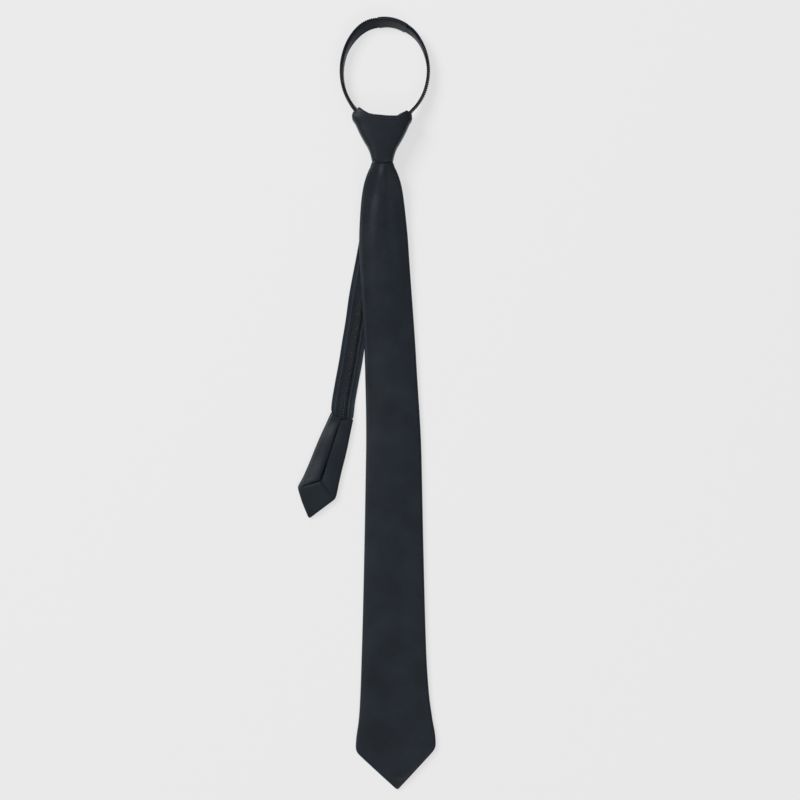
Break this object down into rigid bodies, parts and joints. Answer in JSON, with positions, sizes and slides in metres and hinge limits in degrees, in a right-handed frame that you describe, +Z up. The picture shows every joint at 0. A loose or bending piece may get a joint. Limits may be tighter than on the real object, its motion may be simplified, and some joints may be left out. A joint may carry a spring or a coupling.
{
  "type": "zipper necktie",
  "caption": "Ready-knotted pointed necktie whose neck loop is the two opened halves of a zip, with the closed zip and its small pointed tail lying beside the blade.",
  "frame": {"origin": "on the surface the tie lies on, under the middle of the whole tie's box", "axes": "+Y from the blade's point to the neck loop, +Z up from the surface to the tie's front, +X to the right as seen from the front"},
  "size_m": [0.1034, 0.5844, 0.0185],
  "materials": {
    "satin_cloth": "blue-black satin twill with a soft sheen",
    "facing_cloth": "plain blue-black facing cloth, duller than the satin",
    "zip_tape": "blue-black woven polyester tape with lengthwise ribs",
    "zip_coil": "black nylon coil, half gloss",
    "slider_metal": "black painted die-cast metal, worn at the edges"
  },
  "bodies": {
    "root": {"blade_shell": "satin_cloth", "blade_tipping": "facing_cloth", "knot_wrap": "satin_cloth", "zip_tape_left": "zip_tape", "zip_tape_right": "zip_tape", "zip_coil_left": "zip_coil", "zip_coil_right": "zip_coil", "zip_slider": "slider_metal", "neck_sleeve": "satin_cloth", "tail_shell": "satin_cloth", "tail_tipping": "facing_cloth"}
  },
  "joints": []
}
